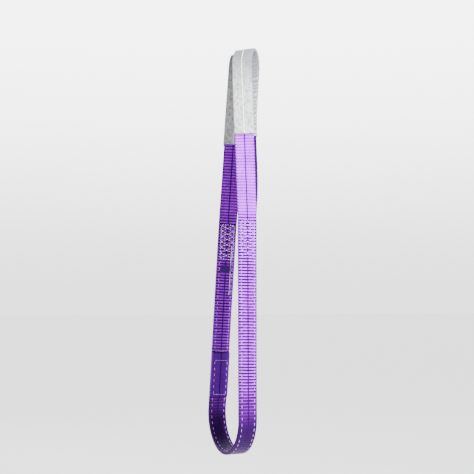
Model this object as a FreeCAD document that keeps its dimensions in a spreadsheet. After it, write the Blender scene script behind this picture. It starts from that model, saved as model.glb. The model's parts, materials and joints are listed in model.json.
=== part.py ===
"""Duplex flat web sling in a basket hitch, as a parametric FreeCAD document.

The origin is the centre of the hook bow that both eyes hang on.  +Z is up, X runs along the
load's axis and Y from the front leg to the rear leg.  Sizes are in millimetres and angles in
degrees.  The crown's lean and the front eye's tilt are slopes.
"""
import FreeCAD, Part
import math
import os

import Sketcher
from FreeCAD import Placement, Rotation, Vector

DIMENSIONS = {
    "strap_width": 31.5,
    "ply_thickness": 3.0,
    "load_diameter": 114.3,
    "seat_clearance": 0.15,
    "hook_diameter": 28.0,
    "hook_clearance": 0.3,
    "load_drop": 588.0,
    "load_shift_x": -18.0,
    "load_shift_y": 7.0,
    "leg_lean": 3.9,
    "leg_length": 318.0,
    "leg_side_shift": 10.0,
    "hinge_gap": 0.9,
    "eye_twist": 38.0,
    "limb_gap": 0.2,
    "lapped_eye_clearance": 2.0,
    "front_eye_offset_before_hook": 3.0,
    "front_eye_offset_behind_hook": 16.0,
    "rear_eye_offset_before_hook": -4.0,
    "rear_eye_offset_behind_hook": -11.0,
    "crown_lean": 0.1,
    "front_eye_tilt": 0.08,
    "sleeve_wall": 1.2,
    "sleeve_slack": 0.2,
    "front_sleeve_reach": 122.0,
    "rear_sleeve_reach": 133.0,
    "bunched_width": 10.4,
    "bunched_thickness": 7.0,
    "stitch_length": 5.0,
    "stitch_pitch": 9.5,
    "stitch_inset": 4.6,
    "thread_width": 0.9,
    "thread_height": 0.4,
    "splice_length": 56.0,
    "splice_width": 22.3,
    "splice_end_margin": 3.0,
    "row_end_margin": 4.0,
    "lap_length": 75.0,
    "lap_start": 22.0,
    "lap_margin": 5.0,
    "tack_width": 20.0,
    "tack_length": 12.0,
    "tack_height": 0.8,
    "tack_drop": 78.0,
    "label_width": 28.0,
    "label_length": 72.0,
    "label_thickness": 0.8,
    "label_corner": 3.0,
    "label_hem": 16.0,
    "label_drop": 66.0,
    "label_gap": 0.5,
    "label_seam_margin": 2.0,
}

X_AXIS = Vector(1, 0, 0)
Z_AXIS = Vector(0, 0, 1)
FRONT = -1
REAR = 1

# Sections along an eye.  A share runs from 0 at the leg to 1 at the hook.
CROWN_STEPS = 16
UNBUNCHED_SHARE = 0.38
BUNCHED_SHARE = 0.62
HIGH_LIMB_SHARE = 0.8

# Gaps that keep stitches apart, and the places of the label's two seams on its header.
SPLICE_CELLS = 3
SPLICE_CROSSING_GAP = 1.2
SPLICE_END_GAP = 1.5
LAP_ROW_GAP = 2.0
THREAD_GAP = 1.0
LABEL_SEAM_SHARES = (0.3, 0.75)

os.makedirs("parts", exist_ok=True)
doc = FreeCAD.newDocument("flat_web_sling")
sheet = doc.addObject("Spreadsheet::Sheet", "sizes")
for row, (alias, value) in enumerate(DIMENSIONS.items(), start=1):
    sheet.set(f"A{row}", alias)
    sheet.set(f"B{row}", str(value))
    sheet.setAlias(f"B{row}", alias)
doc.recompute()


def size(alias):
    """The number that the sheet holds for one driving dimension."""
    return float(sheet.get(alias))


# --- Lengths and places that follow from the driving dimensions -------------------------------

width = size("strap_width")
ply = size("ply_thickness")
gap = size("hinge_gap")
wall = size("sleeve_wall")
slack = size("sleeve_slack")
thread_width = size("thread_width")
thread_height = size("thread_height")
seat_radius = size("load_diameter") / 2 + size("seat_clearance")
pivot_radius = seat_radius + ply
load_centre = Vector(size("load_shift_x"), size("load_shift_y"), -size("load_drop"))
row_offset = width / 2 - size("stitch_inset")
nodes = []


def keep(node):
    """List a finished sub-part for checking and writing, with its name as its label."""
    node.Label = node.Name
    nodes.append(node)
    return node


def mix(start, end, share):
    """The value or vector that lies this share of the way from start to end."""
    return start * (1 - share) + end * share


class Leg:
    """One straight leg, from its tangent point on the load up to its eye base."""

    def __init__(self, name, side):
        self.name = name
        self.side = side
        lean = math.radians(size("leg_lean"))
        self.outward = Vector(0, side * math.cos(lean), math.sin(lean))
        rise = Vector(0, -side * math.sin(lean), math.cos(lean)) * size("leg_length")
        self.foot = load_centre + self.outward * pivot_radius
        self.top = self.foot + rise + X_AXIS * size("leg_side_shift")
        self.length = self.top.distanceToPoint(self.foot)
        self.up = (self.top - self.foot).normalize()
        self.across = self.outward.cross(self.up) * side
        if self.across.x < 0:
            self.across = -self.across
        self.rightward = self.outward.cross(self.up)

    def point(self, across, outward, height):
        """A point on the leg: sideways, outward from between the plies, and above the foot."""
        return self.foot + self.across * across + self.outward * outward + self.up * height

    def placement(self, block_width, inner_face, height):
        """Where a centred block goes: local X across, local Y outward, local Z up the leg."""
        half = block_width / 2
        start = -half if self.rightward.x > 0 else half
        corner = self.point(start, inner_face, height)
        return Placement(corner, Rotation(self.rightward, self.outward, self.up, "ZXY"))


front_leg = Leg("front", FRONT)
rear_leg = Leg("rear", REAR)


# --- Legs: two plies each -----------------------------------------------------------------------

def leg_block(name, leg, sizes, inner_face, height):
    """A flat block on a leg, with its width, thickness and length bound to the sheet."""
    block = doc.addObject("Part::Box", name)
    for side, expression in zip(("Length", "Width", "Height"), sizes):
        block.setExpression(side, expression)
    doc.recompute()
    block.Placement = leg.placement(block.Length.Value, inner_face, height)
    return keep(block)


PLY_SIZES = ("sizes.strap_width", "sizes.ply_thickness",
             "sqrt(sizes.leg_length ^ 2 + sizes.leg_side_shift ^ 2) - 2 * sizes.hinge_gap")

for leg in (front_leg, rear_leg):
    leg_block(f"{leg.name}_leg_inner_ply", leg, PLY_SIZES, -ply, gap)
    leg_block(f"{leg.name}_leg_outer_ply", leg, PLY_SIZES, 0.0, gap)


# --- Bight: two half rings of webbing under the load ---------------------------------------------

def origin_plane(body, role):
    """The body's own origin plane that has this role."""
    return next(plane for plane in body.Origin.OriginFeatures if plane.Role == role)


def add_sketch(body, name, role):
    """A sketch on one of the body's own origin planes."""
    sketch = body.newObject("Sketcher::SketchObject", name)
    sketch.AttachmentSupport = [(origin_plane(body, role), "")]
    sketch.MapMode = "FlatFace"
    return sketch


def add_rectangle(sketch, half_width, bottom, top):
    """A closed rectangle, level and even about the sketch's vertical axis."""
    corners = [Vector(-half_width, bottom, 0), Vector(half_width, bottom, 0),
               Vector(half_width, top, 0), Vector(-half_width, top, 0)]
    for index in range(4):
        sketch.addGeometry(Part.LineSegment(corners[index], corners[(index + 1) % 4]), False)
    for index in range(4):
        sketch.addConstraint(Sketcher.Constraint("Coincident", index, 2, (index + 1) % 4, 1))
    for index in (1, 3):
        sketch.addConstraint(Sketcher.Constraint("Vertical", index))
    sketch.addConstraint(Sketcher.Constraint("Horizontal", 2))
    sketch.addConstraint(Sketcher.Constraint("Symmetric", 0, 1, 0, 2, -2))


def add_dimension(sketch, kind, ends, value, expression):
    """A driving constraint whose value comes from the sheet."""
    index = sketch.addConstraint(Sketcher.Constraint(kind, *ends, value))
    sketch.setExpression(f"Constraints[{index}]", expression)


def add_bight_ply(name, inner_radius, inner_expression):
    """One ply under the load, revolved about the load's axis and even about its lowest point."""
    body = doc.addObject("PartDesign::Body", name)
    section = add_sketch(body, f"{name}_section", "XZ_Plane")
    add_rectangle(section, width / 2, -inner_radius - ply, -inner_radius)
    add_dimension(section, "DistanceX", (0, 1, 0, 2), width, "sizes.strap_width")
    add_dimension(section, "DistanceY", (1, 1, 1, 2), ply, "sizes.ply_thickness")
    add_dimension(section, "DistanceY", (2, 1, -1, 1), inner_radius, inner_expression)
    ring = body.newObject("PartDesign::Revolution", f"{name}_ring")
    ring.Profile = section
    ring.ReferenceAxis = (section, ["H_Axis"])
    ring.Midplane = True
    ring.setExpression("Angle", "180 + 2 * sizes.leg_lean"
                       " - 2 * sizes.hinge_gap / (sizes.load_diameter / 2) * 180 / pi")
    body.Placement = Placement(load_centre, Rotation())
    return keep(body)


SEAT_RADIUS = "sizes.load_diameter / 2 + sizes.seat_clearance"
add_bight_ply("bight_inner_ply", seat_radius, SEAT_RADIUS)
add_bight_ply("bight_outer_ply", pivot_radius, f"{SEAT_RADIUS} + sizes.ply_thickness")


# --- Eyes: webbing over the hook, in a sleeve ------------------------------------------------------

class Station:
    """One cross-section of a strap: its centre, its two directions and its two sizes."""

    def __init__(self, centre, across, outward, flat_width, thickness):
        self.centre = centre
        self.across = across
        self.outward = outward
        self.flat_width = flat_width
        self.thickness = thickness

    def wire(self, margin):
        """The section's outline, larger than the strap by a margin all round."""
        side = self.across * (self.flat_width / 2 + margin)
        rise = self.outward * (self.thickness / 2 + margin)
        corners = (-side - rise, side - rise, side + rise, rise - side)
        return Part.makePolygon([self.centre + corner for corner in (*corners, corners[0])])

    def shifted(self, distance, flat_width, thickness):
        """A narrow section that lies on the strap's outer face."""
        rise = self.thickness / 2 + distance + thickness / 2
        return Station(self.centre + self.outward * rise, self.across, self.outward,
                       flat_width, thickness)


class Eye:
    """One eye: the limb on the front side, the crown over the hook and the limb behind.

    The crown's axis is turned about Z and may tilt a little, and its top leans to one side.
    Behind the hook both eyes are pushed sideways.  There the rear eye stays flat, and the front
    eye's strap bunches up beside it.
    """

    def __init__(self, leg, inner_radius, tilt, bunches):
        self.leg = leg
        self.inner_radius = inner_radius
        self.offsets = [size(f"{leg.name}_eye_offset_{place}_hook") for place in ("before", "behind")]
        self.bunches = bunches
        self.sleeve_share = 1 - size(f"{leg.name}_sleeve_reach") / -leg.top.z
        twist = math.radians(size("eye_twist"))
        self.along = Vector(math.cos(twist), -math.sin(twist), tilt).normalize()
        self.forward = Vector(-math.sin(twist), -math.cos(twist), 0)
        self.rise = (Z_AXIS + self.along * size("crown_lean")).normalize()

    def section_size(self, bunching):
        """The strap's width and thickness, from flat to fully bunched."""
        if not self.bunches:
            return width, ply
        return (mix(width, size("bunched_width"), bunching),
                mix(ply, size("bunched_thickness"), bunching))

    def crown_station(self, angle):
        """A section on the crown, from 0 at the front limb to pi at the rear limb."""
        behind = max(0.0, angle / (math.pi / 2) - 1)
        flat_width, thickness = self.section_size(behind)
        arm = self.forward * math.cos(angle) + self.rise * math.sin(angle)
        radius = self.inner_radius + wall + slack + thickness / 2
        centre = self.along * mix(*self.offsets, behind) + arm * radius
        return Station(centre, self.along, arm, flat_width, thickness)

    def limb_station(self, limb, share):
        """A section on one limb, from 0 at the leg to 1 at the hook."""
        crown = self.crown_station(0.0 if limb == FRONT else math.pi)
        facing = 1 if limb == self.leg.side else -1
        half_apart = (ply + size("limb_gap")) / 2
        base = self.leg.top + self.leg.up * gap + self.leg.outward * half_apart * facing
        across = mix(X_AXIS, crown.across, share).normalize()
        outward = mix(self.leg.outward * facing, crown.outward, share).normalize()
        outward = (outward - across * outward.dot(across)).normalize()
        bunching = 0.0
        if limb == REAR:
            bunching = min(1.0, max(0.0, (share - UNBUNCHED_SHARE) / (BUNCHED_SHARE - UNBUNCHED_SHARE)))
        return Station(mix(base, crown.centre, share), across, outward, *self.section_size(bunching))

    def stations(self, lowest_share):
        """The sections of the eye above a share, up the front limb, over the hook and down again."""
        shares = {0.0, UNBUNCHED_SHARE, self.sleeve_share, BUNCHED_SHARE, HIGH_LIMB_SHARE}
        shares = sorted(share for share in shares if share >= lowest_share)
        angles = [math.pi * step / CROWN_STEPS for step in range(CROWN_STEPS + 1)]
        return ([self.limb_station(FRONT, share) for share in shares]
                + [self.crown_station(angle) for angle in angles]
                + [self.limb_station(REAR, share) for share in reversed(shares)])

    def sleeve_stations(self):
        """The sections of the part of the eye that the sleeve covers."""
        return self.stations(self.sleeve_share)


def ribbon(stations, margin=0.0):
    """A solid strap through the sections."""
    return Part.makeLoft([station.wire(margin) for station in stations], True, True)


def add_shape(name, shape):
    """A sub-part whose shape is made by Part's own functions."""
    feature = doc.addObject("Part::Feature", name)
    feature.Shape = shape
    feature.Placement = Placement()
    return keep(feature)


def add_eye(name, eye):
    """An eye's webbing, the flat tube of the sleeve round it and the sleeve's seam."""
    covered = eye.sleeve_stations()
    outside = ribbon(covered, slack + wall)
    add_shape(f"{name}_eye_webbing", ribbon(eye.stations(0.0)))
    add_shape(f"{name}_eye_sleeve", outside.cut(ribbon(covered, slack)))
    seam = [station.shifted(slack + wall, thread_width, thread_height) for station in covered]
    add_shape(f"{name}_sleeve_seam", ribbon(seam))


hook_radius = (size("hook_diameter") + size("hook_clearance")) / 2
lapped_radius = hook_radius + 2 * (wall + slack) + ply + size("lapped_eye_clearance")
front_eye = Eye(front_leg, lapped_radius, size("front_eye_tilt"), True)
rear_eye = Eye(rear_leg, hook_radius, 0.0, False)
add_eye("front", front_eye)
add_eye("rear", rear_eye)


# --- Stitching: each node is a group of separate stitches ------------------------------------------

def stitch(centre, direction, outward, length):
    """One straight stitch that lies on a face."""
    block = Part.makeBox(length, thread_width, thread_height,
                         Vector(-length / 2, -thread_width / 2, 0))
    block.Placement = Placement(centre, Rotation(direction, outward.cross(direction), outward, "ZXY"))
    return block


def row_heights(start, end):
    """The heights of the stitches' centres, evenly pitched between two heights."""
    pitch = size("stitch_pitch")
    count = int((end - start - size("stitch_length")) / pitch) + 1
    first = (start + end - pitch * (count - 1)) / 2
    return [first + pitch * step for step in range(count)]


def leg_rows(leg, face, start, end):
    """Two rows of stitches along one face of a leg; face is 1 outside and -1 inside."""
    return [stitch(leg.point(side * row_offset, face * ply, height), leg.up, leg.outward * face,
                   size("stitch_length"))
            for height in row_heights(start, end) for side in (-1, 1)]


def splice(leg, face):
    """A lattice of slanted stitch lines, closed by a line across each end, below the eye."""
    half = size("splice_width") / 2
    top = leg.length - gap - size("splice_end_margin")
    bottom = top - size("splice_length")
    cell = (top - bottom) / SPLICE_CELLS
    lines = []
    for index in range(SPLICE_CELLS):
        low = bottom + index * cell
        for side in (-1, 1):
            start = -side * half
            middle = -side * SPLICE_CROSSING_GAP
            lines.append(((start, low), (middle, low + cell / 2 - SPLICE_CROSSING_GAP)))
            lines.append(((start, low + cell), (middle, low + cell / 2 + SPLICE_CROSSING_GAP)))
    for height in (bottom - SPLICE_END_GAP, top + SPLICE_END_GAP):
        lines.append(((-half, height), (half, height)))
    stitches = []
    for (start_x, start_z), (end_x, end_z) in lines:
        begin = leg.point(start_x, face * ply, start_z)
        finish = leg.point(end_x, face * ply, end_z)
        run = finish - begin
        stitches.append(stitch((begin + finish) / 2, Vector(run).normalize(),
                               leg.outward * face, run.Length - thread_width))
    return stitches


row_margin = size("row_end_margin")
splice_foot = front_leg.length - gap - size("splice_end_margin") - size("splice_length")
row_top = splice_foot - row_margin
lap_top = size("lap_start") + size("lap_length")
label_top = rear_leg.length - size("label_drop")
label_hinge = label_top - size("label_hem")

front_rows = [piece for face in (-1, 1) for piece in leg_rows(front_leg, face, row_margin, row_top)]
add_shape("front_leg_edge_stitches", Part.makeCompound(front_rows))
for leg in (front_leg, rear_leg):
    lattice = [piece for face in (-1, 1) for piece in splice(leg, face)]
    add_shape(f"{leg.name}_splice_stitches", Part.makeCompound(lattice))

rear_rows = leg_rows(rear_leg, 1, row_margin, row_top)
rear_rows += leg_rows(rear_leg, -1, lap_top + LAP_ROW_GAP, row_top)
add_shape("rear_leg_edge_stitches", Part.makeCompound(rear_rows))


def bight_rows():
    """Two rows of stitches round the outside of the bight."""
    radius = seat_radius + 2 * ply
    count = int(math.pi * radius / size("stitch_pitch"))
    rows = []
    for index in range(count):
        angle = math.pi * (index + 0.5) / count
        arm = Vector(0, -math.cos(angle), -math.sin(angle))
        for side in (-1, 1):
            centre = load_centre + X_AXIS * side * row_offset + arm * radius
            rows.append(stitch(centre, X_AXIS.cross(arm), arm, size("stitch_length")))
    return rows


add_shape("bight_edge_stitches", Part.makeCompound(bight_rows()))


# --- Rear leg's lap joint and bar tack --------------------------------------------------------------

leg_block("webbing_lap_end", rear_leg, ("sizes.strap_width", "sizes.ply_thickness", "sizes.lap_length"),
          -2 * ply, size("lap_start"))


def lap_stitches():
    """Lines across the lap near both ends, joined by a line along each edge."""
    face = -2 * ply
    low = size("lap_start") + size("lap_margin")
    high = lap_top - size("lap_margin")
    middle = (low + high) / 2
    lines = []
    for height in (low, high):
        lines.append(stitch(rear_leg.point(0, face, height), rear_leg.across,
                            -rear_leg.outward, 2 * (row_offset - THREAD_GAP)))
    for side in (-1, 1):
        lines.append(stitch(rear_leg.point(side * row_offset, face, middle), rear_leg.up,
                            -rear_leg.outward, high - low))
    return lines


add_shape("lap_stitches", Part.makeCompound(lap_stitches()))
leg_block("bar_tack", rear_leg, ("sizes.tack_width", "sizes.tack_height", "sizes.tack_length"),
          -ply - size("tack_height"), rear_leg.length - size("tack_drop"))


# --- Identification label on the rear leg's outer face -----------------------------------------------

label_face = ply + size("label_gap")
leg_block("label_header", rear_leg, ("sizes.label_width", "sizes.label_thickness", "sizes.label_hem"),
          label_face, label_hinge)


def label_stitches():
    """Two lines across the label's header."""
    face = label_face + size("label_thickness")
    length = size("label_width") - 2 * size("label_seam_margin")
    return [stitch(rear_leg.point(0, face, label_hinge + size("label_hem") * share),
                   rear_leg.across, rear_leg.outward, length) for share in LABEL_SEAM_SHARES]


add_shape("label_stitches", Part.makeCompound(label_stitches()))


def add_label_flap():
    """The label's free part, hanging from the header, with rounded lower corners."""
    body = doc.addObject("PartDesign::Body", "label_flap")
    outline = add_sketch(body, "label_outline", "XZ_Plane")
    add_rectangle(outline, size("label_width") / 2, -size("label_length"), 0.0)
    add_dimension(outline, "DistanceX", (0, 1, 0, 2), size("label_width"), "sizes.label_width")
    add_dimension(outline, "DistanceY", (1, 1, 1, 2), size("label_length"), "sizes.label_length")
    outline.addConstraint(Sketcher.Constraint("PointOnObject", 2, 1, -1))
    pad = body.newObject("PartDesign::Pad", "label_sheet")
    pad.Profile = outline
    pad.Midplane = True
    pad.setExpression("Length", "sizes.label_thickness")
    doc.recompute()
    corners = [f"Edge{index}" for index, edge in enumerate(pad.Shape.Edges, start=1)
               if abs(edge.Length - size("label_thickness")) < 1e-6
               and edge.CenterOfMass.z < -size("label_length") / 2]
    rounding = body.newObject("PartDesign::Fillet", "label_corners")
    rounding.Base = (pad, corners)
    rounding.setExpression("Radius", "sizes.label_corner")
    body.Tip = rounding
    hinge = rear_leg.point(0, label_face + size("label_thickness") / 2, label_hinge - size("label_gap"))
    body.Placement = Placement(hinge, Rotation(rear_leg.across, rear_leg.outward, rear_leg.up, "ZXY"))
    return keep(body)


add_label_flap()


# --- Check and write ---------------------------------------------------------------------------------

doc.recompute()
for item in doc.Objects:
    if "Invalid" in item.State or "Error" in item.State:
        raise RuntimeError(f"{item.Name} failed: {item.State}")
for node in nodes:
    if node.Shape.isNull() or not node.Shape.isValid():
        raise RuntimeError(f"{node.Label} has no valid shape")
for node in nodes:
    node.Shape.exportStep(f"parts/{node.Label}.step")
    print(node.Label, len(node.Shape.Solids), round(node.Shape.Volume, 1))
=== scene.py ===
import json
import math
import random

import bmesh
import bpy
from mathutils import Matrix, Vector, noise


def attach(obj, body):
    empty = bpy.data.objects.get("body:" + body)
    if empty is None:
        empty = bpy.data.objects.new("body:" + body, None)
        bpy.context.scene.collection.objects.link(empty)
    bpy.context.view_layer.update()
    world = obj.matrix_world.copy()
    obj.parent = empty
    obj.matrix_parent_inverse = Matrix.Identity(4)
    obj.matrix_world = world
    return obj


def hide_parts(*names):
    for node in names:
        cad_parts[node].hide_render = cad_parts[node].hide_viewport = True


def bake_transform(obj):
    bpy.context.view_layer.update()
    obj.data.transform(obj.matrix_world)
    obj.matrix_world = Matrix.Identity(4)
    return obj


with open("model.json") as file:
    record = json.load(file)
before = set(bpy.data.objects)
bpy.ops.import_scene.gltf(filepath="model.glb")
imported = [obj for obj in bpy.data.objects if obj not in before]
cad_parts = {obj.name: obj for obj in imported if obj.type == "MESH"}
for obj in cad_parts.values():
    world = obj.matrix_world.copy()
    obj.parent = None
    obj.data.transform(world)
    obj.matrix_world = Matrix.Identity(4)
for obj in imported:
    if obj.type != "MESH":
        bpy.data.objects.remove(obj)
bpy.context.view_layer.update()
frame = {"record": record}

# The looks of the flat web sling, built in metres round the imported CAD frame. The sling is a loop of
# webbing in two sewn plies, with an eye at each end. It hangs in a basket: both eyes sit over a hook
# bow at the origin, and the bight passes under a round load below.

MM = 0.001
FRONT, REAR = -1, 1
OUTER, INNER = 1, -1
X_AXIS = Vector((1, 0, 0))
Z_AXIS = Vector((0, 0, 1))

# --- Sizes of the sling, in millimetres and radians ---

STRAP_WIDTH = 31.5
PLY = 3.0
SELVEDGE_ROUND = 1.3
BEND_EASE = 24.0
LEG_LEAN = math.radians(3.9)
LEG_TWIST = math.radians(12.0)
EYE_TWIST = math.radians(38.0)
EYE_GAP = 0.45
EYE_CORNER_GAP = 0.5
CROWN_LEAN = 0.1
SLEEVE_WALL = 1.2
SLEEVE_SLACK = 0.2
HOOK_RADIUS = 14.15
LAPPED_RADIUS = 21.95
BUNCHED_WIDTH = 10.4
BUNCHED_THICKNESS = 7.0
FRONT_SLEEVE_REACH = 122.0
REAR_SLEEVE_REACH = 133.0

RIB_PITCH = 4.9
RIB_HEIGHT = 0.4
RIB_SAMPLES = 7
TONGUE_DROP = 2.5
TONGUE_RISE = 3 * RIB_PITCH - TONGUE_DROP
TONGUE_THICKNESS = 0.4
TONGUE_ROOM = 0.9
EYE_RIB_BLEND = 20.0
FRONT_EYE_RIBBING = 0.5
REAR_EYE_RIBBING = 0.82
PRESSED_RIBBING = 0.12
PRESSED_RIB_BLEND = 60.0

# Painted shade: a tone below 1 paints the webbing darker. The rear leg and rear eye are painted darker than
# the front, the rear limb of each eye nearly black, and the bight nearly black, lightening over the foot of
# each leg.
REAR_SHADE_TONE = 0.66
REAR_LIMB_SHADE_TONE = 0.02
BIGHT_SHADE_TONE = 0.03
BIGHT_SHADE_START = 22.0
BIGHT_SHADE_BLEND = 90.0

STITCH_ROW = 11.15
STITCH_PITCH = 9.5
STITCH_LENGTH = 5.0
THREAD_RADIUS = 0.45
THREAD_RAISE = 0.28

SPLICE_LOW = 259.0
SPLICE_HIGH = 315.0
LAP_LOW = 22.0
LAP_HIGH = 97.0
LAP_END_BAND = 9.0
TACK_DROP = 78.0
TACK_SIZE = (20.0, 12.0)
LABEL_WIDTH = 28.0
LABEL_LENGTH = 88.0
LABEL_HEM = 16.0
LABEL_DROP = 66.0
LABEL_GAP = 0.5
LABEL_THICKNESS = 0.8


# --- Small helpers ---

def mix(start, end, share):
    """The value or vector that lies this share of the way from start to end."""
    return start * (1 - share) + end * share


def ease(share):
    """A smooth step from 0 to 1."""
    share = min(1.0, max(0.0, share))
    return share * share * (3 - 2 * share)


def spread(start, end, count):
    """Evenly spaced values from start to end, count steps apart."""
    return [mix(start, end, index / count) for index in range(count + 1)]


def flat_normal(direction, across):
    """The direction with its part along the strap's width taken out."""
    return (direction - across * direction.dot(across)).normalized()


# --- Places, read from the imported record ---

def recorded_place(items, name):
    """The place of one of the record's mounts or joints, in millimetres."""
    found = next(item for item in items if item["name"] == name)
    return Vector(found["pos_m"]) / MM


JOINTS = frame["record"]["behaviour"]["joints"]
LOAD_CENTRE = recorded_place(frame["record"]["mounts"], "load_seat")
FRONT_TOP = recorded_place(JOINTS, "load_sway")
FRONT_FOOT = recorded_place(JOINTS, "bight_swing")
REAR_FOOT = recorded_place(JOINTS, "rear_leg_swing")
REAR_TOP = Vector((FRONT_TOP.x, 2 * LOAD_CENTRE.y - FRONT_TOP.y, FRONT_TOP.z))
PIVOT_RADIUS = (FRONT_FOOT - LOAD_CENTRE).length
BIGHT_HALF = (math.pi / 2 + LEG_LEAN) * PIVOT_RADIUS


# --- Camera, light and floor ---

CAMERA_YAW = math.radians(25.2)
CAMERA_PITCH = math.radians(4.09)
CAMERA_AIM = Vector((-18.7, -14.8, -293.4))
CAMERA_DISTANCE = 1536.0
CAMERA_LENS = 70.36
CAMERA_SENSOR = 36.0
LIGHT_AIM = (-0.015, 0.0, -0.25)
SIDE_BLEND = 0.6
HORIZON_BLEND = 0.3
FLOOR_WHITE = 0.92
FLOOR_ROUGHNESS = 0.9


def make_camera():
    """A long lens, left of the sling's front and level with its middle, that looks up a little."""
    level = math.cos(CAMERA_PITCH)
    forward = Vector((math.sin(CAMERA_YAW) * level, math.cos(CAMERA_YAW) * level, math.sin(CAMERA_PITCH)))
    camera = bpy.data.objects.new("camera", bpy.data.cameras.new("camera"))
    camera.data.lens = CAMERA_LENS
    camera.data.sensor_width = CAMERA_SENSOR
    camera.location = (CAMERA_AIM - forward * CAMERA_DISTANCE) * MM
    camera.rotation_mode = "QUATERNION"
    camera.rotation_quaternion = forward.to_track_quat("-Z", "Y")
    bpy.context.scene.collection.objects.link(camera)
    bpy.context.scene.camera = camera


def make_light(name, place, size, watts):
    """A soft square lamp that faces the sling's middle; place and size are in metres."""
    lamp = bpy.data.lights.new(name, "AREA")
    lamp.shape = "SQUARE"
    lamp.size = size
    lamp.energy = watts
    light = bpy.data.objects.new(name, lamp)
    light.location = place
    light.visible_camera = False
    light.rotation_mode = "QUATERNION"
    light.rotation_quaternion = (Vector(LIGHT_AIM) - Vector(place)).to_track_quat("-Z", "Y")
    bpy.context.scene.collection.objects.link(light)


def make_world(front, back, horizon):
    """White light from all sides: brighter behind the sling, and dimmer by a share at the horizon."""
    world = bpy.data.worlds.new("studio")
    world.use_nodes = True
    nodes, links = world.node_tree.nodes, world.node_tree.links
    place = nodes.new("ShaderNodeTexCoord")
    parts = nodes.new("ShaderNodeSeparateXYZ")
    links.new(place.outputs["Generated"], parts.inputs[0])
    product = nodes.new("ShaderNodeMath")
    product.operation = "MULTIPLY"
    blends = (("Y", SIDE_BLEND, front, back), ("Z", HORIZON_BLEND, horizon, 1.0))
    for index, (axis, limit, low, high) in enumerate(blends):
        blend = nodes.new("ShaderNodeMapRange")
        blend.interpolation_type = "SMOOTHSTEP"
        for name, value in (("From Min", 0.0), ("From Max", limit), ("To Min", low), ("To Max", high)):
            blend.inputs[name].default_value = value
        links.new(parts.outputs[axis], blend.inputs["Value"])
        links.new(blend.outputs["Result"], product.inputs[index])
    links.new(product.outputs[0], nodes["Background"].inputs["Strength"])
    nodes["Background"].inputs["Color"].default_value = (1.0, 1.0, 1.0, 1.0)
    bpy.context.scene.world = world


def make_floor(half, height):
    """A pale square floor, in metres."""
    mesh = bpy.data.meshes.new("floor")
    corners = [(x * half, y * half, height) for x, y in ((-1, -1), (1, -1), (1, 1), (-1, 1))]
    mesh.from_pydata(corners, [], [(0, 1, 2, 3)])
    floor = bpy.data.objects.new("floor", mesh)
    bpy.context.scene.collection.objects.link(floor)
    paint = bpy.data.materials.new("floor_paint")
    paint.use_nodes = True
    shader = paint.node_tree.nodes["Principled BSDF"]
    shader.inputs["Base Color"].default_value = (FLOOR_WHITE, FLOOR_WHITE, FLOOR_WHITE, 1.0)
    shader.inputs["Roughness"].default_value = FLOOR_ROUGHNESS
    mesh.materials.append(paint)


make_camera()
make_world(front=0.75, back=6.0, horizon=0.42)
make_light("key", place=(0.03, -0.75, 0.1), size=0.1, watts=42)
make_light("back", place=(-0.6, 2.4, 0.7), size=1.2, watts=20)
make_floor(half=40.0, height=-0.95)


# --- The sling's middle lines: sections along the strap ---

LEG_STEPS = 24
BASKET_STEPS = 160
TONGUE_STEPS = 4


class Station:
    """One cross-section of a strap: centre, directions across and outward, width and thickness.

    The tone says how light the webbing is painted there, from 0 for nearly black to 1 for light violet;
    below 1 it is painted shade.
    """

    def __init__(self, centre, across, outward, width=STRAP_WIDTH, thickness=PLY, tone=1.0):
        self.centre = centre
        self.across = across
        self.outward = outward
        self.width = width
        self.thickness = thickness
        self.tone = tone

    def mixed(self, other, share):
        """The station that lies this share of the way to another."""
        across = mix(self.across, other.across, share).normalized()
        outward = flat_normal(mix(self.outward, other.outward, share), across)
        return Station(mix(self.centre, other.centre, share), across, outward,
                       mix(self.width, other.width, share),
                       mix(self.thickness, other.thickness, share),
                       mix(self.tone, other.tone, share))

    def point(self, across, lift):
        """A point at this section: sideways, and above its outward face."""
        return self.centre + self.across * across + self.outward * (self.thickness / 2 + lift)


class Leg:
    """One straight leg, from its foot on the load up to its eye base, twisting a little on the way."""

    def __init__(self, side, foot, top):
        self.side = side
        self.foot = foot
        # Painted shade: the rear leg's webbing is painted darker than the front leg's.
        self.tone = 1.0 if side == FRONT else REAR_SHADE_TONE
        self.up = (top - foot).normalized()
        self.length = (top - foot).length
        self.outward = Vector((0, side * math.cos(LEG_LEAN), math.sin(LEG_LEAN)))
        across = self.outward.cross(self.up).normalized()
        self.across = across if across.x > 0 else -across

    def station(self, height, facing):
        """A section of one ply, facing outward or inward, at a height above the foot."""
        turn = Matrix.Rotation(-LEG_TWIST * max(0.0, height) / self.length, 3, self.up)
        outward = turn @ self.outward * facing
        centre = self.foot + self.up * height + outward * (PLY / 2)
        return Station(centre, turn @ self.across, outward, tone=self.tone)

    def stations(self, low, high, facing):
        """Sections of one ply between two heights."""
        return [self.station(height, facing) for height in spread(low, high, LEG_STEPS)]


FRONT_LEG = Leg(FRONT, FRONT_FOOT, FRONT_TOP)
REAR_LEG = Leg(REAR, REAR_FOOT, REAR_TOP)


def bight_station(distance, facing):
    """A ply's section under the load, by distance along the bight from its lowest point to the rear."""
    angle = distance / PIVOT_RADIUS
    arm = Vector((0, math.sin(angle), -math.cos(angle)))
    return Station(LOAD_CENTRE + arm * (PIVOT_RADIUS + facing * PLY / 2), X_AXIS, arm * facing)


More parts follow.
